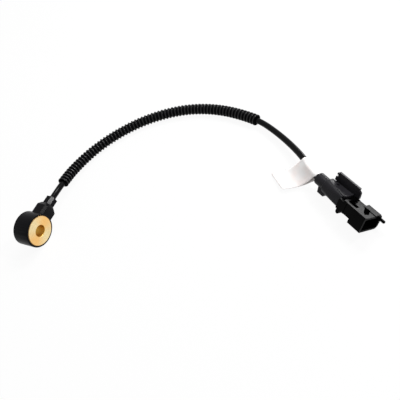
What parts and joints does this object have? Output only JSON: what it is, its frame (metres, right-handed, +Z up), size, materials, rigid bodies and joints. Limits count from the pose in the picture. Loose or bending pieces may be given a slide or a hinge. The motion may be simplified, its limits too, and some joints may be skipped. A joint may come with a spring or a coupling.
{
  "type": "engine knock sensor",
  "caption": "Ring-shaped knock sensor with a brass pressure sleeve, its cable in a corrugated tube, a blank label and a keyed connector.",
  "frame": {"origin": "middle of the bolt's bore in the brass sleeve, halfway along it", "axes": "+Y along the bore, away from the engine block; +X along the neck, the way the cable leaves the head; +Z up, with the part lying on the rim of its head"},
  "size_m": [0.1523, 0.2342, 0.024],
  "materials": {
    "brass": "turned and bright",
    "head_plastic": "moulded, slightly glossy black",
    "cable_jacket": "smooth black",
    "tube_plastic": "corrugated, half matte black",
    "label_film": "blank white paper film",
    "connector_plastic": "glossy black",
    "overmould_plastic": "matte charcoal grey",
    "blade_metal": "tin plated",
    "contact_metal": "thin spring bronze",
    "ceramic": "fired piezo ceramic",
    "steel": "plain turned steel",
    "insulator_film": "thin amber film",
    "core_plastic": "core insulation"
  },
  "bodies": {
    "root": {"pressure_sleeve": "brass", "lower_insulator": "insulator_film", "lower_contact": "contact_metal", "piezo_ring": "ceramic", "upper_contact": "contact_metal", "upper_insulator": "insulator_film", "seismic_mass": "steel", "disc_spring": "steel", "ring_nut": "steel", "head_ground_core": "core_plastic", "head_signal_core": "core_plastic", "sensor_housing": "head_plastic", "cable": "cable_jacket", "corrugated_tube": "tube_plastic", "cable_label": "label_film", "ground_blade": "blade_metal", "signal_blade": "blade_metal", "connector_ground_core": "core_plastic", "connector_signal_core": "core_plastic", "connector_housing": "connector_plastic", "rear_overmould": "overmould_plastic"}
  },
  "joints": []
}
